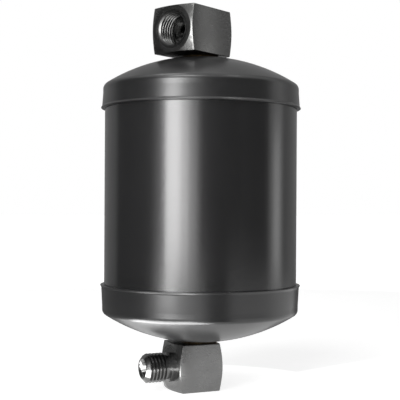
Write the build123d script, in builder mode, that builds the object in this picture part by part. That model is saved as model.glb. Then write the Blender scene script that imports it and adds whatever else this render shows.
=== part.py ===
from build123d import *
from math import acos, atan2, cos, degrees, hypot, radians, sin, sqrt, tan
import os

# Filter drier for a refrigerant line: a brazed steel can with a bar-stock fitting on each end.
# Frame: Z is the can's axis, pointing up to the inlet. The underside of the outlet fitting
# is Z = 0, and the outlet stud points along -X. All sizes are in millimetres.

# ---- Can ----
tube_outer_radius = 40.0
tube_wall = 1.6
seam_spacing = 72.9
cap_wall = 1.15
cap_neck_in = 0.4
cap_crown_radius = 74.0
cap_knuckle_radius = 2.6
inlet_skirt_height = 7.95
outlet_skirt_height = 10.2
tube_insertion = 6.0
lip_height = 0.9
lip_flare = 0.45

# ---- Fittings, turned from square bar ----
inlet_bar_width = 20.8
inlet_bar_height = 18.8
inlet_face_reach = 19.4
inlet_back_reach = 7.45
inlet_face_radius = 9.6
inlet_turn = 26.3
outlet_bar_width = 19.55
outlet_bar_height = 19.5
outlet_face_reach = 13.45
outlet_back_reach = 6.05
outlet_face_radius = 9.2
bar_edge_radius = 0.3
end_chamfer_angle = 19.0

# ---- Passages and the spigots that stand in the caps ----
flow_radius = 2.6
drill_overrun = 0.8
drill_point_angle = 118.0
spigot_radius = 5.0
spigot_bore_radius = 2.4
spigot_stand_in = 2.0
braze_gap = 0.15
braze_radius = 7.6
braze_undercut = 0.5

# ---- Inlet port, M14 x 1.5 female ----
port_minor_radius = 6.19
port_countersink_radius = 7.45
port_countersink_depth = 0.45
port_thread_depth = 7.0
port_seat_radius = 4.5
port_seat_depth = 1.6

# ---- Outlet stud, M12 x 1.5 male ----
stud_thread_radius = 6.0
stud_thread_length = 7.2
stud_collar_radius = 6.1
stud_collar_length = 1.7
stud_relief_radius = 4.9
stud_relief_length = 2.0
stud_nose_radius = 4.7
stud_nose_length = 1.2
stud_lip_radius = 4.2
stud_lip_length = 0.4
stud_seat_depth = 1.0

# ---- Packing inside the can ----
packing_clearance = 0.2
plate_thickness = 1.0
plate_rim_height = 6.0
plate_bend = 1.0
plate_hole_radius = 2.5
plate_hole_pitch = 14.0
plate_hole_rings = 2
pad_thickness = 5.0
screen_thickness = 0.4

# ---- Spring ----
spring_length = 22.0
spring_wire_width = 2.4
spring_wire_thickness = 1.2
spring_top_radius = 12.0
spring_base_radius = 20.0
spring_turns = 3.5
spring_clearance = 0.1

# ---- Outlet strainer ----
strainer_wall = 0.4
strainer_height = 11.0
strainer_end_chamfer = 2.0
sleeve_clearance = 0.05
collar_wall = 0.9
collar_height = 2.5

# ---- Sizes that follow from those above ----
cap_mouth_radius = tube_outer_radius + cap_wall
cap_shell_radius = cap_mouth_radius - cap_neck_in
crown_drop = sqrt(
    (cap_crown_radius - cap_knuckle_radius) ** 2 - (cap_shell_radius - cap_knuckle_radius) ** 2
)
crown_height = cap_crown_radius - crown_drop
outlet_axis_z = outlet_bar_height / 2
outlet_apex_z = outlet_bar_height + braze_gap
outlet_seam_z = outlet_apex_z + crown_height + outlet_skirt_height
inlet_seam_z = outlet_seam_z + seam_spacing
inlet_apex_z = inlet_seam_z + inlet_skirt_height + crown_height
inlet_block_z = inlet_apex_z + braze_gap
inlet_axis_z = inlet_block_z + inlet_bar_height / 2

tube_bore_radius = tube_outer_radius - tube_wall
packing_radius = tube_bore_radius - packing_clearance
cap_inner_crown = cap_crown_radius - cap_wall


def crown_sag(radius, crown_radius):
    """How far a crown of this radius falls below its middle at a distance from the axis."""
    return crown_radius - sqrt(crown_radius**2 - radius**2)


# Directions: each fitting's frame has x out of its mouth, y up and z across.
def fitting_frame(angle, height):
    """Frame of a fitting whose mouth looks along this compass angle, in degrees from +X."""
    outward = (cos(radians(angle)), sin(radians(angle)), 0)
    across = (sin(radians(angle)), -cos(radians(angle)), 0)
    return Plane(origin=(0, 0, height), x_dir=outward, z_dir=across)


outlet_frame = fitting_frame(180, outlet_axis_z)
inlet_frame = fitting_frame(180 + inlet_turn, inlet_axis_z)
inlet_seam_plane = Plane(origin=(0, 0, inlet_seam_z), x_dir=(1, 0, 0), z_dir=(0, -1, 0))
outlet_seam_plane = Plane(origin=(0, 0, outlet_seam_z), x_dir=(1, 0, 0), z_dir=(0, 1, 0))


# ---- Shell tube ----
# Drawn steel tube. Each end stands on the small shoulder inside a cap's skirt.
tube_bottom_z = outlet_seam_z - tube_insertion
tube_length = seam_spacing + 2 * tube_insertion

with BuildPart() as shell_tube:
    with BuildSketch(Plane.XY.offset(tube_bottom_z)):
        Circle(tube_outer_radius)
        Circle(tube_bore_radius, mode=Mode.SUBTRACT)
    extrude(amount=tube_length)


# ---- End caps ----
# Pressed dished ends. The skirt is belled out over the tube and its open edge is flared
# to hold the brazing ring.
def cap_section(seam_plane, skirt_height):
    """Half section of a cap: x is the distance from the axis, y the height over its open edge."""
    crown_centre = skirt_height - crown_drop
    knuckle_centre = cap_shell_radius - cap_knuckle_radius
    knuckle_angle = degrees(atan2(crown_drop, knuckle_centre))
    outer_hole_angle = degrees(acos(spigot_radius / cap_crown_radius))
    inner_hole_angle = degrees(acos(spigot_radius / cap_inner_crown))
    inner_shell_radius = cap_shell_radius - cap_wall
    with BuildSketch(seam_plane) as section:
        with BuildLine():
            outer_crown = CenterArc(
                (0, crown_centre), cap_crown_radius, knuckle_angle, outer_hole_angle - knuckle_angle
            )
            CenterArc((knuckle_centre, skirt_height), cap_knuckle_radius, 0, knuckle_angle)
            Polyline(
                (cap_shell_radius, skirt_height),
                (cap_mouth_radius, lip_height),
                (cap_mouth_radius + lip_flare, 0),
                (tube_outer_radius + lip_flare, 0),
                (tube_outer_radius, lip_height),
                (tube_outer_radius, tube_insertion),
                (inner_shell_radius, tube_insertion),
                (inner_shell_radius, skirt_height),
            )
            CenterArc(
                (knuckle_centre, skirt_height), cap_knuckle_radius - cap_wall, 0, knuckle_angle
            )
            inner_crown = CenterArc(
                (0, crown_centre), cap_inner_crown, knuckle_angle, inner_hole_angle - knuckle_angle
            )
            Line(outer_crown @ 1, inner_crown @ 1)
        make_face()
    return section.sketch


with BuildPart() as top_end_cap:
    revolve(cap_section(inlet_seam_plane, inlet_skirt_height), axis=Axis.Z)

with BuildPart() as bottom_end_cap:
    revolve(cap_section(outlet_seam_plane, outlet_skirt_height), axis=Axis.Z)


# ---- Seam brazes ----
# The filler that fills each flared mouth, between the cap's lip and the tube.
def seam_section(seam_plane):
    """Section of the filler, in the same frame as the cap's section."""
    with BuildSketch(seam_plane) as section:
        with BuildLine():
            Polyline(
                (tube_outer_radius, lip_height),
                (tube_outer_radius + lip_flare, 0),
                (tube_outer_radius, 0),
                close=True,
            )
        make_face()
    return section.sketch


with BuildPart() as top_seam_braze:
    revolve(seam_section(inlet_seam_plane), axis=Axis.Z)

with BuildPart() as bottom_seam_braze:
    revolve(seam_section(outlet_seam_plane), axis=Axis.Z)


# ---- Fitting bodies ----
# Each fitting is one piece of square steel bar. Both ends are faced and chamfered in a lathe,
# which leaves a round face with four sloping corner facets.
def turned_bar(frame, width, height, back_reach, face_reach, face_radius):
    """Bar along the frame's x, with the chamfered ends that the lathe leaves."""
    back_centre = frame.from_local_coords(Vector(-back_reach, 0, 0))
    corner_radius = hypot(width, height) / 2
    setback = (corner_radius - face_radius) * tan(radians(end_chamfer_angle))
    with BuildPart() as bar:
        with BuildSketch(Plane(origin=back_centre, x_dir=frame.z_dir, z_dir=frame.x_dir)):
            RectangleRounded(width, height, bar_edge_radius)
        extrude(amount=back_reach + face_reach)
        with BuildSketch(frame):
            with BuildLine():
                Polyline(
                    (-back_reach, 0),
                    (-back_reach, face_radius),
                    (setback - back_reach, corner_radius),
                    (face_reach - setback, corner_radius),
                    (face_reach, face_radius),
                    (face_reach, 0),
                    close=True,
                )
            make_face()
        revolve(axis=Axis(frame.origin, frame.x_dir), mode=Mode.INTERSECT)
    return bar.part


drill_depth = spigot_bore_radius + drill_overrun
drill_point_length = flow_radius / tan(radians(drill_point_angle / 2))
spigot_length = cap_wall + braze_gap + spigot_stand_in
inlet_bar = turned_bar(
    inlet_frame,
    inlet_bar_width,
    inlet_bar_height,
    inlet_back_reach,
    inlet_face_reach,
    inlet_face_radius,
)

with BuildPart() as inlet_block:
    add(inlet_bar)
    with BuildSketch(Plane.XY.offset(inlet_block_z - spigot_length)):
        Circle(spigot_radius)
    extrude(amount=spigot_length)
    # The port, from the drill's point out to the countersunk mouth.
    with BuildSketch(inlet_frame):
        with BuildLine():
            Polyline(
                (-drill_depth - drill_point_length, 0),
                (-drill_depth, flow_radius),
                (inlet_face_reach - port_thread_depth - port_seat_depth, flow_radius),
                (inlet_face_reach - port_thread_depth - port_seat_depth, port_seat_radius),
                (inlet_face_reach - port_thread_depth, port_seat_radius),
                (inlet_face_reach - port_thread_depth, port_minor_radius),
                (inlet_face_reach - port_countersink_depth, port_minor_radius),
                (inlet_face_reach, port_countersink_radius),
                (inlet_face_reach, 0),
                close=True,
            )
        make_face()
    revolve(axis=Axis(inlet_frame.origin, inlet_frame.x_dir), mode=Mode.SUBTRACT)
    # The passage down into the can.
    with BuildSketch(Plane.XY.offset(inlet_axis_z)):
        Circle(spigot_bore_radius)
    extrude(amount=inlet_block_z - spigot_length - inlet_axis_z, mode=Mode.SUBTRACT)

stud_thread_start = outlet_face_reach + stud_collar_length + stud_relief_length
stud_thread_end = stud_thread_start + stud_thread_length
stud_tip = stud_thread_end + stud_nose_length + stud_lip_length
outlet_bar = turned_bar(
    outlet_frame,
    outlet_bar_width,
    outlet_bar_height,
    outlet_back_reach,
    outlet_face_reach,
    outlet_face_radius,
)

with BuildPart() as outlet_block:
    add(outlet_bar)
    with BuildSketch(Plane.XY.offset(outlet_bar_height)):
        Circle(spigot_radius)
    extrude(amount=spigot_length)
    # The stud: collar, O-ring groove, thread and a nose that leads into the nut.
    with BuildSketch(outlet_frame):
        with BuildLine():
            Polyline(
                (0, 0),
                (0, stud_collar_radius),
                (outlet_face_reach + stud_collar_length, stud_collar_radius),
                (outlet_face_reach + stud_collar_length, stud_relief_radius),
                (stud_thread_start, stud_relief_radius),
                (stud_thread_start, stud_thread_radius),
                (stud_thread_end, stud_thread_radius),
                (stud_thread_end + stud_nose_length, stud_nose_radius),
                (stud_tip, stud_lip_radius),
                (stud_tip, 0),
                close=True,
            )
        make_face()
    revolve(axis=Axis(outlet_frame.origin, outlet_frame.x_dir))
    # The bore, with the cone that seats the pipe at its mouth.
    with BuildSketch(outlet_frame):
        with BuildLine():
            Polyline(
                (-drill_depth - drill_point_length, 0),
                (-drill_depth, flow_radius),
                (stud_tip - stud_seat_depth, flow_radius),
                (stud_tip, stud_lip_radius),
                (stud_tip, 0),
                close=True,
            )
        make_face()
    revolve(axis=Axis(outlet_frame.origin, outlet_frame.x_dir), mode=Mode.SUBTRACT)
    # The passage up into the can.
    with BuildSketch(Plane.XY.offset(outlet_axis_z)):
        Circle(spigot_bore_radius)
    extrude(amount=outlet_bar_height + spigot_length - outlet_axis_z, mode=Mode.SUBTRACT)


# ---- Fitting brazes ----
# Filler between a fitting's flat side and the cap's crown, round the spigot.
def braze_section(seam_plane, skirt_height):
    """Section of the filler, in the same frame as the cap's section."""
    inner_angle = degrees(acos(spigot_radius / cap_crown_radius))
    outer_angle = degrees(acos(braze_radius / cap_crown_radius))
    crown_centre = (0, skirt_height - crown_drop)
    top = skirt_height + crown_height + braze_gap
    with BuildSketch(seam_plane) as section:
        with BuildLine():
            crown = CenterArc(crown_centre, cap_crown_radius, inner_angle, outer_angle - inner_angle)
            Polyline(crown @ 1, (braze_radius - braze_undercut, top), (spigot_radius, top), crown @ 0)
        make_face()
    return section.sketch


with BuildPart() as inlet_braze_ring:
    revolve(braze_section(inlet_seam_plane, inlet_skirt_height), axis=Axis.Z)

with BuildPart() as outlet_braze_ring:
    revolve(braze_section(outlet_seam_plane, outlet_skirt_height), axis=Axis.Z)


# ---- Perforated plates ----
# Pressed steel pans. The outlet plate stands with its rim down on the bottom cap's crown,
# and the pressure plate slides in the tube under the spring with its rim up.
def perforated_pan(pan_plane):
    """Pan whose flat floor lies on the plane, with its rim along the plane's normal."""
    with BuildPart() as pan:
        with BuildSketch(pan_plane):
            Circle(packing_radius)
        extrude(amount=plate_rim_height)
        with BuildSketch(pan_plane.offset(plate_thickness)):
            Circle(packing_radius - plate_thickness)
        extrude(amount=plate_rim_height - plate_thickness, mode=Mode.SUBTRACT)
        floor_face = pan.faces().sort_by(Axis(pan_plane.origin, pan_plane.z_dir))[0]
        chamfer(floor_face.edges(), plate_bend)
        with BuildSketch(pan_plane):
            Circle(plate_hole_radius)
            for ring in range(1, plate_hole_rings + 1):
                with PolarLocations(ring * plate_hole_pitch, 6 * ring):
                    Circle(plate_hole_radius)
        extrude(amount=plate_thickness, mode=Mode.SUBTRACT)
    return pan.part


outlet_plate_rim_z = outlet_apex_z + cap_wall + crown_sag(packing_radius, cap_inner_crown)
outlet_plate_z = outlet_plate_rim_z + plate_rim_height
spring_seat_radius = spring_top_radius + spring_wire_width / 2
spring_top_z = inlet_apex_z - cap_wall - crown_sag(spring_seat_radius, cap_inner_crown)
spring_base_z = spring_top_z - spring_length
pressure_plate_z = spring_base_z - plate_thickness

outlet_pan = perforated_pan(Plane(origin=(0, 0, outlet_plate_z), x_dir=(1, 0, 0), z_dir=(0, 0, -1)))
pressure_pan = perforated_pan(Plane.XY.offset(pressure_plate_z))

with BuildPart() as outlet_perforated_plate:
    add(outlet_pan)

with BuildPart() as pressure_plate:
    add(pressure_pan)


# ---- Filter pads and screens ----
# A glass-fibre pad lies against each plate, and a wire screen keeps the beads out of it.
def disc_section(bottom_z):
    """Outline of a layer of the packing, as wide as the tube lets it be."""
    with BuildSketch(Plane.XY.offset(bottom_z)) as section:
        Circle(packing_radius)
    return section.sketch


outlet_screen_z = outlet_plate_z + pad_thickness
inlet_pad_z = pressure_plate_z - pad_thickness
inlet_screen_z = inlet_pad_z - screen_thickness
bed_bottom_z = outlet_screen_z + screen_thickness
bed_height = inlet_screen_z - bed_bottom_z

with BuildPart() as outlet_filter_pad:
    extrude(disc_section(outlet_plate_z), amount=pad_thickness)

with BuildPart() as inlet_filter_pad:
    extrude(disc_section(inlet_pad_z), amount=pad_thickness)

with BuildPart() as outlet_screen:
    extrude(disc_section(outlet_screen_z), amount=screen_thickness)

with BuildPart() as inlet_screen:
    extrude(disc_section(inlet_screen_z), amount=screen_thickness)


# ---- Desiccant bed ----
# Molecular sieve beads, poured in and shaken down until they fill the tube.
with BuildPart() as desiccant_bed:
    extrude(disc_section(bed_bottom_z), amount=bed_height)


# ---- Compression spring ----
# Conical coil of flat wire. Its small end bears on the cap's crown and its wide end stands
# on the pressure plate, which keeps the bed packed tight.
spring_end_inset = spring_wire_thickness / 2 + spring_clearance
spring_rise = spring_length - 2 * spring_end_inset

with BuildPart() as compression_spring:
    with BuildLine() as spring_path:
        Helix(
            pitch=spring_rise / spring_turns,
            height=spring_rise,
            radius=spring_base_radius,
            center=(0, 0, spring_base_z + spring_end_inset),
            cone_angle=degrees(atan2(spring_top_radius - spring_base_radius, spring_rise)),
        )
    with BuildSketch(Plane(origin=spring_path.line @ 0, x_dir=(1, 0, 0), z_dir=(0, 1, 0))):
        Rectangle(spring_wire_width, spring_wire_thickness)
    sweep(is_frenet=True)


# ---- Outlet strainer ----
# Gauze thimble pushed over the outlet spigot, with a steel collar crimped round its foot.
strainer_bore_radius = spigot_radius + sleeve_clearance
strainer_outer_radius = strainer_bore_radius + strainer_wall
collar_outer_radius = strainer_outer_radius + collar_wall
strainer_foot_z = outlet_apex_z + cap_wall + crown_sag(collar_outer_radius, cap_inner_crown)

with BuildPart() as outlet_strainer:
    with BuildSketch(Plane.XY.offset(strainer_foot_z)):
        Circle(strainer_outer_radius)
    extrude(amount=strainer_height)
    chamfer(outlet_strainer.faces().sort_by(Axis.Z)[-1].edges(), strainer_end_chamfer)
    offset(
        amount=-strainer_wall,
        openings=outlet_strainer.faces().sort_by(Axis.Z)[0],
        kind=Kind.INTERSECTION,
    )

with BuildPart() as strainer_collar:
    with BuildSketch(Plane.XY.offset(strainer_foot_z)):
        Circle(collar_outer_radius)
        Circle(strainer_outer_radius, mode=Mode.SUBTRACT)
    extrude(amount=collar_height)


# ---- Files ----
os.makedirs("parts", exist_ok=True)

shell_tube.part.label = "shell_tube"
export_step(shell_tube.part, "parts/shell_tube.step")

top_end_cap.part.label = "top_end_cap"
export_step(top_end_cap.part, "parts/top_end_cap.step")

bottom_end_cap.part.label = "bottom_end_cap"
export_step(bottom_end_cap.part, "parts/bottom_end_cap.step")

top_seam_braze.part.label = "top_seam_braze"
export_step(top_seam_braze.part, "parts/top_seam_braze.step")

bottom_seam_braze.part.label = "bottom_seam_braze"
export_step(bottom_seam_braze.part, "parts/bottom_seam_braze.step")

inlet_block.part.label = "inlet_block"
export_step(inlet_block.part, "parts/inlet_block.step")

outlet_block.part.label = "outlet_block"
export_step(outlet_block.part, "parts/outlet_block.step")

inlet_braze_ring.part.label = "inlet_braze_ring"
export_step(inlet_braze_ring.part, "parts/inlet_braze_ring.step")

outlet_braze_ring.part.label = "outlet_braze_ring"
export_step(outlet_braze_ring.part, "parts/outlet_braze_ring.step")

outlet_perforated_plate.part.label = "outlet_perforated_plate"
export_step(outlet_perforated_plate.part, "parts/outlet_perforated_plate.step")

pressure_plate.part.label = "pressure_plate"
export_step(pressure_plate.part, "parts/pressure_plate.step")

outlet_filter_pad.part.label = "outlet_filter_pad"
export_step(outlet_filter_pad.part, "parts/outlet_filter_pad.step")

inlet_filter_pad.part.label = "inlet_filter_pad"
export_step(inlet_filter_pad.part, "parts/inlet_filter_pad.step")

outlet_screen.part.label = "outlet_screen"
export_step(outlet_screen.part, "parts/outlet_screen.step")

inlet_screen.part.label = "inlet_screen"
export_step(inlet_screen.part, "parts/inlet_screen.step")

desiccant_bed.part.label = "desiccant_bed"
export_step(desiccant_bed.part, "parts/desiccant_bed.step")

compression_spring.part.label = "compression_spring"
export_step(compression_spring.part, "parts/compression_spring.step")

outlet_strainer.part.label = "outlet_strainer"
export_step(outlet_strainer.part, "parts/outlet_strainer.step")

strainer_collar.part.label = "strainer_collar"
export_step(strainer_collar.part, "parts/strainer_collar.step")
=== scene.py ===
import bmesh
import bpy
from math import acos, atan2, cos, pi, radians, sin, sqrt, tan
from mathutils import Matrix, Vector


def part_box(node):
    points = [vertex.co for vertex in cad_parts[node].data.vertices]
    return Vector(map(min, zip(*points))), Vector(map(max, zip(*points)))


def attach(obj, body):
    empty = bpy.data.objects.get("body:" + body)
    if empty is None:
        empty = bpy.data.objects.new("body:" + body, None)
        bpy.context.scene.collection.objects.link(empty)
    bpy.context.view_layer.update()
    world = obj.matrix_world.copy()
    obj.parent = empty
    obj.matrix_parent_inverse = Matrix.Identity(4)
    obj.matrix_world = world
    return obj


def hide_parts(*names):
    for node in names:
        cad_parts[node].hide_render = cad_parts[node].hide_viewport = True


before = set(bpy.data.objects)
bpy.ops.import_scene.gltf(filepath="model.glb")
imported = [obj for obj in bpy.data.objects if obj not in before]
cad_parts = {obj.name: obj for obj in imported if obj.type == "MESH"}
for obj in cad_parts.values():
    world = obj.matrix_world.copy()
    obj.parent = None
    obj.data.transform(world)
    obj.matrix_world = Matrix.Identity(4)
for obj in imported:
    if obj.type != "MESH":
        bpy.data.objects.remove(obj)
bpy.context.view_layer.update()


# ---- Shell tube ----
# Cold-drawn steel tube that the drying charge is packed in. It stands on a small shoulder
# inside each end cap, and is painted with the rest of the can after brazing.
tube_outer_radius = 0.040
tube_bore_radius = 0.0384
tube_edge = 0.0002
turned_steps = 288
sharp_turn = radians(28)
enamel_dark = (0.0080, 0.0080, 0.0083, 1)
enamel_light = (0.0120, 0.0120, 0.0123, 1)
dust_grey = (0.10, 0.10, 0.10, 1)
dust_strength = 0.08
peel_depth = 0.000012
tube_haze = 0.17
tube_marks_depth = 0.000006
tube_marks_scale = (900.0, 900.0, 9.0)


def finish_surface(mesh):
    """Smooth shading that stays crisp at real corners."""
    mesh.shade_smooth()
    mesh.set_sharp_from_angle(angle=sharp_turn)


def turn(name, outline):
    """Turns a closed (radius, height) outline, listed anticlockwise, about the can's axis."""
    mesh = bpy.data.meshes.new(name)
    rows = len(outline)
    points = []
    for step in range(turned_steps):
        angle = 2 * pi * step / turned_steps
        points += [(radius * cos(angle), radius * sin(angle), height) for radius, height in outline]
    faces = []
    for step in range(turned_steps):
        ring = step * rows
        next_ring = (step + 1) % turned_steps * rows
        for row in range(rows):
            next_row = (row + 1) % rows
            faces.append((ring + row, next_ring + row, next_ring + next_row, ring + next_row))
    mesh.from_pydata(points, [], faces)
    finish_surface(mesh)
    piece = bpy.data.objects.new(name, mesh)
    bpy.context.scene.collection.objects.link(piece)
    return piece


class Wire:
    """An output socket of a node tree. Arithmetic on it adds Math nodes."""

    def __init__(self, output):
        self.output = output

    def node(self, kind, settings, values, output=0):
        """Adds a node: its settings come first, then a value or a link for each socket."""
        made = self.output.id_data.nodes.new(kind)
        for name, setting in settings.items():
            setattr(made, name, setting)
        for socket, value in values.items():
            if isinstance(value, Wire):
                made.id_data.links.new(value.output, made.inputs[socket])
            else:
                made.inputs[socket].default_value = value
        return Wire(made.outputs[output])

    def beside(self, output):
        """Another output of the node that this one leaves."""
        return Wire(self.output.node.outputs[output])

    def math(self, operation, other=0.0):
        """A Math node on this value, and on another one where it takes two."""
        return self.node("ShaderNodeMath", {"operation": operation}, {0: self, 1: other})

    def __add__(self, other):
        return self.math("ADD", other)

    __radd__ = __add__

    def __sub__(self, other):
        return self.math("SUBTRACT", other)

    def __rsub__(self, other):
        return self.node("ShaderNodeMath", {"operation": "SUBTRACT"}, {0: other, 1: self})

    def __mul__(self, other):
        return self.math("MULTIPLY", other)

    __rmul__ = __mul__

    def stretched(self, scale, centre=(0, 0, 0), turned=(0, 0, 0)):
        """These coordinates, centred, turned and scaled for a pattern."""
        moved = self.node("ShaderNodeVectorMath", {"operation": "SUBTRACT"}, {0: self, 1: centre})
        placing = {"Vector": moved, "Rotation": turned, "Scale": scale}
        return moved.node("ShaderNodeMapping", {}, placing)

    def noise(self, scale, detail=2.0, roughness=0.5):
        """Cloudy pattern from 0 to 1, at so many lumps a metre."""
        sizes = {"Vector": self, "Scale": scale, "Detail": detail, "Roughness": roughness}
        return self.node("ShaderNodeTexNoise", {}, sizes)

    def ramp(self, low, high):
        """0 below low and 1 above high, smooth between."""
        ends = {"Value": self, "From Min": low, "From Max": high}
        return self.node("ShaderNodeMapRange", {"interpolation_type": "SMOOTHSTEP"}, ends)

    def blend(self, below, above):
        """The colour below where this is 0 and the colour above where it is 1."""
        return self.node("ShaderNodeMix", {"data_type": "RGBA"}, {0: self, 6: below, 7: above}, 2)

    def relief(self, height, under=None):
        """A Bump node's normal, for a height in metres, laid over another one."""
        values = {"Height": self, "Strength": 1.0, "Distance": height}
        if under is not None:
            values["Normal"] = under
        return self.node("ShaderNodeBump", {}, values)


def start_finish(name, **constants):
    """A material whose shader has these constant values, with its shader and coordinates."""
    material = bpy.data.materials.new(name)
    material.use_nodes = True
    tree = material.node_tree
    shader = tree.nodes["Principled BSDF"]
    for socket, value in constants.items():
        shader.inputs[socket.replace("_", " ")].default_value = value
    place = Wire(tree.nodes.new("ShaderNodeTexCoord").outputs["Object"])
    return material, shader, place


def feed(shader, **wires):
    """Joins what varies over the surface to the shader's sockets."""
    for socket, wire in wires.items():
        shader.id_data.links.new(wire.output, shader.inputs[socket.replace("_", " ")])


def enamel(name, marks_scale, marks_depth, haze):
    """Black semi-gloss enamel. The draw marks of the steel below still show in it faintly."""
    material, shader, place = start_finish(name, Specular_IOR_Level=0.6, IOR=1.5)
    marks = place.stretched(marks_scale).noise(1.0, detail=3.0)
    cloud = place.noise(38.0, detail=4.0, roughness=0.6)
    dust = place.noise(2600.0, detail=1.0).ramp(0.70, 0.80)
    peel = place.noise(520.0)
    black = cloud.blend(enamel_dark, enamel_light)
    feed(
        shader,
        Base_Color=(dust * dust_strength).blend(black, dust_grey),
        Roughness=haze + cloud * 0.05 + marks * 0.03,
        Normal=peel.relief(peel_depth, marks.relief(marks_depth)),
    )
    return material


tube_paint = enamel("tube_enamel", tube_marks_scale, tube_marks_depth, tube_haze)
tube_low, tube_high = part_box("shell_tube")
shell_tube = turn(
    "drawn_shell_tube",
    [
        (tube_bore_radius, tube_low.z + tube_edge),
        (tube_bore_radius + tube_edge, tube_low.z),
        (tube_outer_radius - tube_edge, tube_low.z),
        (tube_outer_radius, tube_low.z + tube_edge),
        (tube_outer_radius, tube_high.z - tube_edge),
        (tube_outer_radius - tube_edge, tube_high.z),
        (tube_bore_radius + tube_edge, tube_high.z),
        (tube_bore_radius, tube_high.z - tube_edge),
    ],
)
shell_tube.data.materials.append(tube_paint)
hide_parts("shell_tube")
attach(shell_tube, "root")


# ---- End caps ----
# Two deep-drawn steel pressings. Each skirt is belled out over the tube and its open edge
# is flared to hold the brazing ring; the crown is dished to stand the pressure.
cap_wall = 0.00115
cap_shell_radius = 0.04075
cap_mouth_radius = tube_outer_radius + cap_wall
cap_crown_radius = 0.074
cap_knuckle_radius = 0.0026
cap_hole_radius = 0.005
tube_insertion = 0.006
lip_height = 0.0009
lip_flare = 0.00045
lip_round = 0.00022
skirt_blend = 0.0016
# Rows of points up a skirt, as shares of it: close at its ends, so that it shades evenly.
skirt_rows = (0, 0.06, 0.12, 0.5, 0.88, 0.94, 1)
crown_drop = sqrt(
    (cap_crown_radius - cap_knuckle_radius) ** 2 - (cap_shell_radius - cap_knuckle_radius) ** 2
)
inlet_skirt_height = 0.00795
outlet_skirt_height = 0.0102
inlet_seam_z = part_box("top_end_cap")[0].z
outlet_seam_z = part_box("bottom_end_cap")[1].z
cap_haze = 0.25
cap_marks_depth = 0.00001
cap_marks_scale = (160.0, 160.0, 160.0)


def arc(centre, radius, start, end, pieces):
    """Points on an arc in the (radius, height) plane, both ends included."""
    angles = [start + (end - start) * piece / pieces for piece in range(pieces + 1)]
    return [(centre[0] + radius * cos(angle), centre[1] + radius * sin(angle)) for angle in angles]


def cap_outline(skirt_height):
    """Closed outline of a cap standing on its open edge at height 0, anticlockwise."""
    crown_centre = (0, skirt_height - crown_drop)
    knuckle_centre = (cap_shell_radius - cap_knuckle_radius, skirt_height)
    knuckle_angle = atan2(crown_drop, knuckle_centre[0])
    inner_crown = cap_crown_radius - cap_wall
    inner_knuckle = cap_knuckle_radius - cap_wall
    outer_hole = acos(cap_hole_radius / cap_crown_radius)
    inner_hole = acos(cap_hole_radius / inner_crown)
    lip_centre = (cap_mouth_radius + lip_flare - lip_round, lip_round)
    flare_foot = (cap_mouth_radius + 0.1 * lip_flare, lip_height)
    mouth = Vector((cap_mouth_radius, lip_height + 0.2 * lip_flare))
    waist = Vector((cap_shell_radius, skirt_height - skirt_blend))
    outline = [
        (tube_outer_radius, tube_insertion),
        (tube_outer_radius, lip_height),
        (tube_outer_radius + lip_flare, 0),
    ]
    outline += arc(lip_centre, lip_round, -pi / 2, pi / 6, pieces=6)
    outline += [flare_foot]
    outline += [tuple(mouth.lerp(waist, part)) for part in skirt_rows]
    outline += arc(knuckle_centre, cap_knuckle_radius, 0, knuckle_angle, pieces=20)
    outline += arc(crown_centre, cap_crown_radius, knuckle_angle, outer_hole, pieces=36)[1:]
    outline += arc(crown_centre, inner_crown, inner_hole, knuckle_angle, pieces=24)
    outline += arc(knuckle_centre, inner_knuckle, knuckle_angle, 0, pieces=10)[1:]
    outline += [(cap_shell_radius - cap_wall, tube_insertion)]
    return outline


cap_paint = enamel("cap_enamel", cap_marks_scale, cap_marks_depth, cap_haze)

top_outline = cap_outline(inlet_skirt_height)
top_cap = turn(
    "top_cap_pressing", [(radius, inlet_seam_z + height) for radius, height in top_outline]
)
top_cap.data.materials.append(cap_paint)
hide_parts("top_end_cap")
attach(top_cap, "root")

bottom_outline = cap_outline(outlet_skirt_height)
bottom_cap = turn(
    "bottom_cap_pressing",
    [(radius, outlet_seam_z - height) for radius, height in reversed(bottom_outline)],
)
bottom_cap.data.materials.append(cap_paint)
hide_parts("bottom_end_cap")
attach(bottom_cap, "root")


# ---- Fittings ----
# Two blocks of square steel bar, faced and chamfered in a lathe at both ends and left bare.
# The inlet is bored and tapped for a pipe stud; the outlet's stud is cut on the block itself.
upward = Vector((0, 0, 1))
inlet_turn = radians(206.3)
inlet_way = Vector((cos(inlet_turn), sin(inlet_turn), 0))
inlet_axis = Vector((0, 0, 0.147544))
inlet_back_reach = 0.00745
inlet_face_reach = 0.0194
# The two blocks are one bar steel. The inlet's base colour is painted darker (painted shade) and
# the outlet's lighter (painted light).
inlet_shaded_tint = (0.125, 0.125, 0.123)
outlet_way = Vector((-1, 0, 0))
outlet_axis = Vector((0, 0, 0.00975))
outlet_back_reach = 0.00605
outlet_face_reach = 0.01345
outlet_lit_tint = (0.20, 0.20, 0.198)
# A blank's triangles are merged within the first two of these, and its edges near both ends
# and well out from the turning axis are the ones that the lathe cut.
weld_reach = 0.000002
flat_angle = radians(0.3)
rim_length = 0.0022
rim_radius = 0.009
rim_angle = radians(14)
broken_edge = 0.00012
thread_pitch = 0.0015
thread_root_flat = 0.0002
thread_root_round = 0.00008
flank_slope = 2 * tan(radians(30))
thread_steps = 96
port_thread_start = 0.0134
port_thread_radius = 0.006555
port_thread_depth = 0.00095
port_thread_turns = 4.8
stud_thread_start = 0.016175
stud_thread_radius = 0.00558
stud_thread_depth = 0.001
stud_thread_turns = 7.0
# Inside the bored radius and past the face the steel is turned; elsewhere it is as drawn.
bored_radius = 0.0078
bored_blur = 0.0002
face_blur = 0.0001
marks_a_metre = 5200.0
lines_drawn_out = 0.02
bar_marks_depth = 0.000010
stain_shade = 0.72


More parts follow.
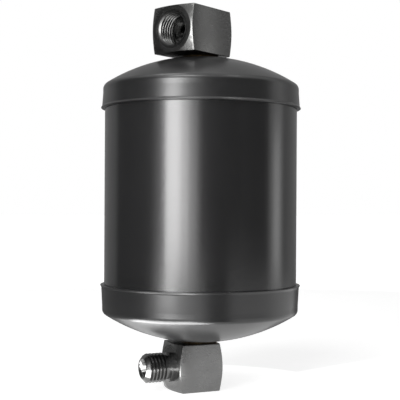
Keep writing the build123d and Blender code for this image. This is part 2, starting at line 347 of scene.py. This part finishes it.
def thread_tool_tree():
    """Node tree of a threading tool: a tapered rib wound right-handed about +Z."""
    tree = bpy.data.node_groups.new("thread_tool", "GeometryNodeTree")
    face = tree.interface
    face.new_socket(name="Geometry", in_out="INPUT", socket_type="NodeSocketGeometry")
    for name in (
        "Path Radius",
        "Turns",
        "Pitch",
        "Depth",
        "Wide Side",
        "Narrow Side",
        "Root Round",
        "Root Side",
    ):
        face.new_socket(name=name, in_out="INPUT", socket_type="NodeSocketFloat")
    face.new_socket(name="Steel", in_out="INPUT", socket_type="NodeSocketMaterial")
    face.new_socket(name="Geometry", in_out="OUTPUT", socket_type="NodeSocketGeometry")
    turns = Wire(tree.nodes.new("NodeGroupInput").outputs["Turns"])
    size = turns.beside
    path = turns.node(
        "GeometryNodeCurveSpiral",
        {},
        {
            "Resolution": thread_steps,
            "Rotations": turns,
            "Start Radius": size("Path Radius"),
            "End Radius": size("Path Radius"),
            "Height": turns * size("Pitch"),
            "Reverse": True,
        },
    )
    level = path.node("GeometryNodeSetCurveNormal", {"mode": "Z_UP"}, {"Curve": path})
    section = turns.node(
        "GeometryNodeCurvePrimitiveQuadrilateral",
        {"mode": "TRAPEZOID"},
        {
            "Height": size("Depth"),
            "Bottom Width": size("Wide Side"),
            "Top Width": size("Narrow Side"),
            "Offset": 0.0,
        },
    )
    eased = section.node(
        "GeometryNodeFilletCurve",
        {"mode": "POLY"},
        {"Curve": section, "Count": 3, "Radius": size("Root Round"), "Limit Radius": True},
    )
    lean = turns.node("ShaderNodeCombineXYZ", {}, {"Z": size("Root Side")})
    aimed = eased.node("GeometryNodeTransform", {}, {"Geometry": eased, "Rotation": lean})
    rib = aimed.node(
        "GeometryNodeCurveToMesh", {}, {"Curve": level, "Profile Curve": aimed, "Fill Caps": True}
    )
    whole = rib.node("GeometryNodeRealizeInstances", {}, {"Geometry": rib})
    coating = {"Geometry": whole, "Material": size("Steel")}
    coated = whole.node("GeometryNodeSetMaterial", {}, coating)
    result = tree.nodes.new("NodeGroupOutput")
    tree.links.new(coated.output, result.inputs["Geometry"])
    return tree


def bar_blank(name, node, axis, way, back_reach, face_reach):
    """A merged copy of a fitting's node, its lathe-cut edges broken as a file leaves them."""
    shape = bmesh.new()
    shape.from_mesh(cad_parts[node].data)
    bmesh.ops.remove_doubles(shape, verts=shape.verts, dist=weld_reach)
    bmesh.ops.dissolve_limit(shape, angle_limit=flat_angle, verts=shape.verts, edges=shape.edges)

    def on_rim(edge):
        places = [vert.co - axis for vert in edge.verts]
        ends = [place.dot(way) for place in places]
        spread = [(place - way * end).length for place, end in zip(places, ends)]
        at_face = min(ends) > face_reach - rim_length
        at_back = max(ends) < rim_length - back_reach
        outside = min(spread) > rim_radius and edge.is_manifold
        return (at_face or at_back) and outside and edge.calc_face_angle() > rim_angle

    bmesh.ops.bevel(
        shape,
        geom=[edge for edge in shape.edges if on_rim(edge)],
        offset=broken_edge,
        segments=2,
        profile=0.5,
        affect="EDGES",
        clamp_overlap=True,
    )
    mesh = bpy.data.meshes.new(name)
    shape.to_mesh(mesh)
    shape.free()
    blank = bpy.data.objects.new(name, mesh)
    bpy.context.scene.collection.objects.link(blank)
    return blank


def settle(piece):
    """Puts the result of a piece's modifiers in its mesh and takes the modifiers off."""
    shown = piece.evaluated_get(bpy.context.evaluated_depsgraph_get())
    mesh = bpy.data.meshes.new_from_object(shown)
    piece.modifiers.clear()
    piece.data = mesh
    mesh.name = piece.name


def seated(place, x_way, y_way, z_way):
    """Matrix that moves an origin to a place and turns its axes to these ways."""
    return Matrix.Translation(place) @ Matrix((x_way, y_way, z_way)).transposed().to_4x4()


def cut_thread(blank, steel, start, way, zero_side, radius, turns, depth, root_side):
    """Threads a blank: the tool starts on the zero side of a point on the axis and is wound
    right-handed along its way, with its narrow side out for a port and in for a stud."""
    tool = bpy.data.objects.new("thread_tool", bpy.data.meshes.new("thread_tool"))
    bpy.context.scene.collection.objects.link(tool)
    winding = tool.modifiers.new("winding", "NODES")
    winding.node_group = thread_tool_nodes
    sizes = {
        "Path Radius": radius,
        "Turns": turns,
        "Pitch": thread_pitch,
        "Depth": depth,
        "Wide Side": thread_root_flat + depth * flank_slope,
        "Narrow Side": thread_root_flat,
        "Root Round": thread_root_round,
        "Root Side": root_side,
        "Steel": steel,
    }
    for socket in thread_tool_nodes.interface.items_tree:
        if socket.in_out == "INPUT" and socket.name in sizes:
            winding[socket.identifier] = sizes[socket.name]
    settle(tool)
    tool.data.transform(seated(start, zero_side, way.cross(zero_side), way))
    cut = blank.modifiers.new("cut", "BOOLEAN")
    cut.operation = "DIFFERENCE"
    cut.solver = "EXACT"
    cut.object = tool
    settle(blank)
    bpy.data.objects.remove(tool)
    finish_surface(blank.data)


def bar_steel(name, axis, way, face_reach, painted_light_tint):
    """Bare bar steel: lathe rings on what was turned, drawing lines along what was not."""
    material, shader, place = start_finish(name, Metallic=1.0)
    swing = atan2(way.y, way.x)
    seat = place.stretched((1, 1, 1), centre=tuple(axis), turned=(0, 0, -swing))
    along = seat.node("ShaderNodeSeparateXYZ", {}, {0: seat}, "X")
    side = along.beside("Y")
    rise = along.beside("Z")
    flat = seat.node("ShaderNodeCombineXYZ", {}, {"Y": side, "Z": rise})
    radius = flat.node("ShaderNodeVectorMath", {"operation": "LENGTH"}, {0: flat}, "Value")
    normal = place.node("ShaderNodeNewGeometry", {}, {}, "Normal")
    facing = normal.node(
        "ShaderNodeVectorMath", {"operation": "DOT_PRODUCT"}, {0: normal, 1: tuple(way)}, "Value"
    )
    end_on = (facing * facing).ramp(0.25, 0.35)
    on_stud = along.ramp(face_reach - face_blur, face_reach + face_blur)
    in_bore = 1 - radius.ramp(bored_radius - bored_blur, bored_radius + bored_blur)
    turned = end_on.math("MAXIMUM", on_stud.math("MAXIMUM", in_bore))
    rings = seat.node("ShaderNodeCombineXYZ", {}, {"X": radius, "Y": along})
    ring_marks = rings.noise(marks_a_metre, detail=2.0, roughness=0.6)
    drawn_out = {"X": along * lines_drawn_out, "Y": side, "Z": rise}
    lines = seat.node("ShaderNodeCombineXYZ", {}, drawn_out)
    line_marks = lines.noise(marks_a_metre, detail=3.0, roughness=0.65)
    marks = turned * ring_marks + (1 - turned) * line_marks
    cloud = place.noise(170.0, detail=4.0, roughness=0.6)
    stain = place.noise(420.0, detail=5.0, roughness=0.7).ramp(0.55, 0.75)
    # The tint is painted shade on the inlet's block and painted light on the outlet's; the stain
    # darkens it further.
    clean = painted_light_tint + (1,)
    dull = tuple(stain_shade * part for part in painted_light_tint) + (1,)
    feed(
        shader,
        Base_Color=(cloud * 0.7 + stain * 0.3).blend(clean, dull),
        Roughness=0.19 + cloud * 0.08 + marks * 0.10 + stain * 0.06 - in_bore * 0.06,
        Normal=marks.relief(bar_marks_depth),
    )
    return material


thread_tool_nodes = thread_tool_tree()

inlet_steel = bar_steel("inlet_bar_steel", inlet_axis, inlet_way, inlet_face_reach, inlet_shaded_tint)
inlet_fitting = bar_blank(
    "inlet_fitting", "inlet_block", inlet_axis, inlet_way, inlet_back_reach, inlet_face_reach
)
inlet_fitting.data.materials.append(inlet_steel)
cut_thread(
    inlet_fitting,
    inlet_steel,
    start=inlet_axis + inlet_way * port_thread_start,
    way=inlet_way,
    zero_side=upward,
    radius=port_thread_radius,
    turns=port_thread_turns,
    depth=port_thread_depth,
    root_side=-pi / 2,
)
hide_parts("inlet_block")
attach(inlet_fitting, "root")

outlet_steel = bar_steel(
    "outlet_bar_steel", outlet_axis, outlet_way, outlet_face_reach, outlet_lit_tint
)
outlet_fitting = bar_blank(
    "outlet_fitting", "outlet_block", outlet_axis, outlet_way, outlet_back_reach, outlet_face_reach
)
outlet_fitting.data.materials.append(outlet_steel)
cut_thread(
    outlet_fitting,
    outlet_steel,
    start=outlet_axis + outlet_way * stud_thread_start,
    way=outlet_way,
    zero_side=-upward,
    radius=stud_thread_radius,
    turns=stud_thread_turns,
    depth=stud_thread_depth,
    root_side=pi / 2,
)
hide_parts("outlet_block")
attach(outlet_fitting, "root")


# ---- Fitting brazes ----
# Filler that ran between each fitting's flat side and the cap's crown and froze as a
# hollow-sided ring round the spigot. Bare, with the brown of its flux left on it.
flux_brown = (0.12, 0.08, 0.04, 1)
filler_brass = (0.30, 0.22, 0.12, 1)
flux_depth = 0.00004


def refinish(node, finish):
    """Gives a node that comes from the solids a finish of its own."""
    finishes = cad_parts[node].data.materials
    finishes.clear()
    finishes.append(finish)


braze_finish, braze_shader, braze_place = start_finish("braze_filler", Metallic=0.85)
flux = braze_place.noise(900.0, detail=4.0, roughness=0.6)
feed(
    braze_shader,
    Base_Color=flux.ramp(0.35, 0.7).blend(flux_brown, filler_brass),
    Roughness=0.36 + flux * 0.14,
    Normal=flux.relief(flux_depth),
)
refinish("inlet_braze_ring", braze_finish)
refinish("outlet_braze_ring", braze_finish)


# ---- Strainer ----
# Thimble of woven steel wire that stands over the outlet spigot and stops the beads' dust.
# The can hides it, as it hides all that follows down to the spring.
gauze_pitch = 0.0006
gauze_depth = 0.3 * gauze_pitch
# The gaps between the wires are painted near black: painted shade.
gauze_gap_shade = (0.03, 0.03, 0.03, 1)
gauze_wire = (0.50, 0.50, 0.50, 1)


def woven_wire(shader, place, across, along):
    """Bare woven wire: two sets of wires at a pitch, over and under, with painted shade between
    them.
    """
    warp = (across * (pi / gauze_pitch)).math("SINE")
    weft = (along * (pi / gauze_pitch)).math("SINE")
    height = (warp * warp).math("MAXIMUM", weft * weft)
    grime = place.noise(260.0, detail=3.0, roughness=0.6)
    feed(
        shader,
        Base_Color=height.ramp(0.45, 0.75).blend(gauze_gap_shade, gauze_wire),
        Roughness=0.28 + grime * 0.16,
        Normal=height.relief(gauze_depth),
    )


strainer_finish, strainer_shader, strainer_place = start_finish("strainer_gauze", Metallic=1.0)
strainer_x = strainer_place.node("ShaderNodeSeparateXYZ", {}, {0: strainer_place}, "X")
strainer_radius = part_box("outlet_strainer")[1].x
round_strainer = strainer_x.beside("Y").math("ARCTAN2", strainer_x) * strainer_radius
woven_wire(strainer_shader, strainer_place, round_strainer, strainer_x.beside("Z"))
refinish("outlet_strainer", strainer_finish)


# ---- Strainer collar ----
# Steel sleeve crimped round the strainer's foot, bright as it came off the strip. It holds
# the thimble to the spigot.
sheet_dull = (0.36, 0.36, 0.36, 1)
sheet_bright = (0.47, 0.47, 0.47, 1)
rolling_depth = 0.000006
collar_rolling = (900.0, 900.0, 9000.0)


def sheet_steel(name, rolled_scale):
    """Cold-rolled steel with its rolling marks along one way and a little dull cloud."""
    material, shader, place = start_finish(name, Metallic=1.0)
    rolled = place.stretched(rolled_scale).noise(1.0, detail=3.0, roughness=0.6)
    cloud = place.noise(120.0, detail=4.0, roughness=0.6)
    feed(
        shader,
        Base_Color=cloud.ramp(0.3, 0.7).blend(sheet_dull, sheet_bright),
        Roughness=0.22 + cloud * 0.14 + rolled * 0.10,
        Normal=rolled.relief(rolling_depth),
    )
    return material


refinish("strainer_collar", sheet_steel("collar_steel", collar_rolling))


# ---- Perforated plates ----
# Two pressed pans. The outlet one stands rim down on the bottom crown and carries the bed;
# the pressure plate sits rim up on top of it, under the spring.
plate_rolling = (120.0, 4200.0, 120.0)
plate_steel = sheet_steel("plate_steel", plate_rolling)
refinish("outlet_perforated_plate", plate_steel)
refinish("pressure_plate", plate_steel)


# ---- Filter pads ----
# Discs of matted glass fibre, one at each end of the bed, that catch what the beads shed.
# Each is pressed flat between a plate and a screen.
fibre_shade = (0.62, 0.59, 0.48, 1)
fibre_white = (0.86, 0.84, 0.76, 1)
fibres_along = (700.0, 5200.0, 2600.0)
fibres_across = (5200.0, 700.0, 2600.0)
fibre_depth = 0.0003
pad_finish, pad_shader, pad_place = start_finish("glass_fibre", Specular_IOR_Level=0.3)
lengthways = pad_place.stretched(fibres_along).noise(1.0, detail=5.0, roughness=0.75)
crossways = pad_place.stretched(fibres_across).noise(1.0, detail=5.0, roughness=0.75)
matted = lengthways.math("MAXIMUM", crossways)
feed(
    pad_shader,
    Base_Color=matted.ramp(0.35, 0.7).blend(fibre_shade, fibre_white),
    Roughness=0.80 + matted * 0.15,
    Normal=matted.relief(fibre_depth),
)
refinish("outlet_filter_pad", pad_finish)
refinish("inlet_filter_pad", pad_finish)


# ---- Screens ----
# Flat discs of the same gauze as the strainer's, that keep the beads out of the pads. Each
# lies loose between the bed and its pad, held by the spring.
screen_finish, screen_shader, screen_place = start_finish("screen_gauze", Metallic=1.0)
screen_x = screen_place.node("ShaderNodeSeparateXYZ", {}, {0: screen_place}, "X")
woven_wire(screen_shader, screen_place, screen_x, screen_x.beside("Y"))
refinish("outlet_screen", screen_finish)
refinish("inlet_screen", screen_finish)


# ---- Desiccant bed ----
# Molecular sieve beads about 2 mm across, vibrated down tight: the part that dries the
# refrigerant. They are buff, matt and a little dusty.
beads_a_metre = 480.0
# The crevices between the beads are painted dark brown: painted shade between them.
bead_gap_shade = (0.20, 0.16, 0.11, 1)
bead_buff = (0.76, 0.66, 0.52, 1)
bead_depth = 0.0009
bead_finish, bead_shader, bead_place = start_finish("sieve_beads", Specular_IOR_Level=0.25)
bead_sizes = {"Vector": bead_place, "Scale": beads_a_metre, "Randomness": 0.7}
from_centre = bead_place.node("ShaderNodeTexVoronoi", {}, bead_sizes, "Distance")
own_shade = 0.6 + from_centre.beside("Color").noise(1.0) * 0.4
bead_round = 1 - from_centre * from_centre
feed(
    bead_shader,
    Base_Color=(bead_round.ramp(0.35, 0.85) * own_shade).blend(bead_gap_shade, bead_buff),
    Roughness=0.78 + bead_place.noise(1500.0) * 0.15,
    Normal=bead_round.relief(bead_depth),
)
refinish("desiccant_bed", bead_finish)


# ---- Compression spring ----
# Conical coil of flat spring wire that holds the pressure plate down on the bed, oiled
# and heat-blued.
spring_blue = (0.19, 0.20, 0.24, 1)
spring_grey = (0.30, 0.29, 0.28, 1)
wire_drawing = (300.0, 300.0, 5200.0)
wire_marks_depth = 0.000008
spring_finish, spring_shader, spring_place = start_finish("spring_steel", Metallic=1.0)
bluing = spring_place.noise(90.0, detail=4.0, roughness=0.6)
drawn = spring_place.stretched(wire_drawing).noise(1.0, detail=3.0)
feed(
    spring_shader,
    Base_Color=bluing.ramp(0.35, 0.65).blend(spring_blue, spring_grey),
    Roughness=0.24 + bluing * 0.14 + drawn * 0.06,
    Normal=drawn.relief(wire_marks_depth),
)
refinish("compression_spring", spring_finish)


# ---- Seam brazes ----
# Filler frozen in the flared mouth of each cap, which holds the cap to the tube and seals
# the can. It is painted over with them.
refinish("top_seam_braze", cap_paint)
refinish("bottom_seam_braze", cap_paint)


# ---- Floor ----
# Plain white sweep that the drier stands on. It glows where it is seen or mirrored, and it
# keeps the drier's shadow.
floor_level = -0.00005
floor_reach = 6.0
floor_white = (0.55, 0.55, 0.55, 1)
floor_glow = 0.82


def whole_sight(rays):
    """1 for rays that show the floor or the room as they are, 0 for those that only light."""
    mirrored = rays.math("MAXIMUM", rays.beside("Is Glossy Ray"))
    return mirrored.math("MAXIMUM", rays.beside("Is Transmission Ray"))


floor_mesh = bpy.data.meshes.new("floor")
floor_mesh.from_pydata(
    [
        (-floor_reach, -floor_reach, floor_level),
        (floor_reach, -floor_reach, floor_level),
        (floor_reach, floor_reach, floor_level),
        (-floor_reach, floor_reach, floor_level),
    ],
    [],
    [(0, 1, 2, 3)],
)
floor = bpy.data.objects.new("floor", floor_mesh)
bpy.context.scene.collection.objects.link(floor)
floor_finish, floor_shader = start_finish(
    "white_sweep", Base_Color=floor_white, Roughness=0.9, Specular_IOR_Level=0.1
)[:2]
floor_tree = floor_finish.node_tree
floor_rays = Wire(floor_tree.nodes.new("ShaderNodeLightPath").outputs["Is Camera Ray"])
glow_strength = whole_sight(floor_rays) * floor_glow
glow = floor_rays.node("ShaderNodeEmission", {}, {"Strength": glow_strength})
lit = floor_rays.node("ShaderNodeAddShader", {}, {0: glow, 1: Wire(floor_shader.outputs[0])})
floor_tree.links.new(lit.output, floor_tree.nodes["Material Output"].inputs["Surface"])
floor_mesh.materials.append(floor_finish)


# ---- Room light ----
# White all round where it is seen or mirrored, and dimmer where it only lights the drier,
# so that the lamps below model its shape.
room_level = 0.3
world = bpy.data.worlds.new("white_room")
bpy.context.scene.world = world
world.use_nodes = True
room_light = world.node_tree.nodes["Background"]
room_light.inputs["Color"].default_value = (1, 1, 1, 1)
room_rays = Wire(world.node_tree.nodes.new("ShaderNodeLightPath").outputs["Is Camera Ray"])
room_strength = room_level + whole_sight(room_rays) * (1 - room_level)
world.node_tree.links.new(room_strength.output, room_light.inputs["Strength"])


# ---- Camera ----
# Level with the middle of the can, on the side that the port and the stud half face, with
# both of them to the left. It is rolled by a third of a degree.
camera_heading = radians(64.2513)
camera_distance = 0.40964
camera_height = 0.07649
camera_roll = 0.0054
sensor_width = 36
lens_length = 88.08
frame_shift = (-0.00115, 0.0124)
ahead = Vector((cos(camera_heading), sin(camera_heading), 0))
aside = Vector((sin(camera_heading), -cos(camera_heading), 0))
right = aside * cos(camera_roll) + upward * sin(camera_roll)
above = upward * cos(camera_roll) - aside * sin(camera_roll)
camera_data = bpy.data.cameras.new("camera")
camera_data.sensor_width = sensor_width
camera_data.lens = lens_length
camera_data.shift_x, camera_data.shift_y = frame_shift
camera = bpy.data.objects.new("camera", camera_data)
eye = upward * camera_height - ahead * camera_distance
camera.matrix_world = seated(eye, right, above, -ahead)
bpy.context.scene.collection.objects.link(camera)
bpy.context.scene.camera = camera


# ---- Lamps and cards ----
# Soft boxes round the drier, above it and low down, and cards that stand or lie round it and
# shade its black enamel between their reflections.
middle = upward * 0.08
card_steps = 12
card_level = 0.0005
card_grey = (0.16, 0.16, 0.16, 1)
card_pale = (0.42, 0.42, 0.42, 1)


def outward(angle):
    """Level way out from the can's axis, at an angle in degrees to the left of the camera."""
    swing = radians(angle)
    return -ahead * cos(swing) - aside * sin(swing)


def round_can(angle, distance, height):
    """A place round the can, at a distance from its axis."""
    return outward(angle) * distance + upward * height


def soft_box(name, place, sides, radiance, faces_up=False):
    """Rectangular lamp facing the can's middle or upward, with the radiance that it shows.
    Its place is an angle, a distance and a height, and its sides are a width and a length."""
    width, length = sides
    lamp = bpy.data.lights.new(name, "AREA")
    lamp.shape = "RECTANGLE"
    lamp.size = width
    lamp.size_y = length
    lamp.energy = radiance * pi * width * length
    stand = round_can(*place)
    facing = upward if faces_up else (middle - stand).normalized()
    across = upward.cross(outward(place[0]))
    box = bpy.data.objects.new(name, lamp)
    box.matrix_world = seated(stand, across, across.cross(facing), -facing)
    box.visible_camera = False
    bpy.context.scene.collection.objects.link(box)


def add_card(name, finish, corners, faces):
    """Card that shows in reflections alone: the camera doesn't see it and it has no shadow."""
    mesh = bpy.data.meshes.new(name)
    mesh.from_pydata(corners, [], faces)
    mesh.materials.append(finish)
    card = bpy.data.objects.new(name, mesh)
    card.visible_camera = False
    card.visible_shadow = False
    bpy.context.scene.collection.objects.link(card)


def upright_card(name, finish, start, end, top):
    """Card standing on the floor from one angle and distance to another."""
    first = round_can(*start, 0)
    last = round_can(*end, 0)
    corners = [first, last, last + upward * top, first + upward * top]
    add_card(name, finish, corners, [(0, 1, 2, 3)])


def floor_card(name, finish, start, end, near, far):
    """Card lying on the floor round the can, between two angles and two distances."""
    corners = []
    for step in range(card_steps + 1):
        angle = start + (end - start) * step / card_steps
        corners += [round_can(angle, near, card_level), round_can(angle, far, card_level)]
    strips = range(0, 2 * card_steps, 2)
    add_card(name, finish, corners, [(row, row + 1, row + 3, row + 2) for row in strips])


soft_box("key_box", (31.2, 0.75, 0.18), (0.245, 0.36), 14.2)
soft_box("key_feather", (17.3, 0.75, 0.12), (0.112, 0.24), 8.2)
soft_box("key_edge", (8, 0.75, 0.11), (0.125, 0.22), 2.8)
soft_box("side_box", (-98, 0.75, 0.08), (0.163, 0.16), 1.7)
soft_box("high_box", (26, 0.77, 1.0), (0.55, 0.45), 7.5)
soft_box("top_box", (100, 0.36, 1.22), (0.40, 0.30), 4.0)
soft_box("glint_box", (-50, 0.69, 1.06), (0.12, 0.12), 14.0)
soft_box("low_box", (35, 0.32, 0.004), (0.09, 0.24), 9.0, faces_up=True)
soft_box("knuckle_box", (36, 0.044, 0.003), (0.062, 0.034), 10.5, faces_up=True)

grey_finish = start_finish("grey_card", Base_Color=card_grey, Roughness=1.0)[0]
pale_finish = start_finish("pale_card", Base_Color=card_pale, Roughness=1.0)[0]
upright_card("left_card", grey_finish, (52, 0.5), (112, 0.5), top=0.5)
upright_card("back_left_card", pale_finish, (112, 0.5), (178, 0.5), top=0.85)
upright_card("near_card", grey_finish, (2, 0.75), (-45, 0.60), top=0.45)
upright_card("right_card", grey_finish, (-45, 0.60), (-84, 0.55), top=0.45)
upright_card("far_card", pale_finish, (-108, 0.5), (-178, 0.5), top=0.85)
floor_card("left_floor_card", grey_finish, 56, 180, near=0.06, far=0.5)
floor_card("near_floor_card", grey_finish, -30, -6, near=0.06, far=0.6)
floor_card("far_floor_card", grey_finish, -180, -132, near=0.06, far=0.5)

scene = bpy.context.scene
scene.view_settings.view_transform = "Standard"
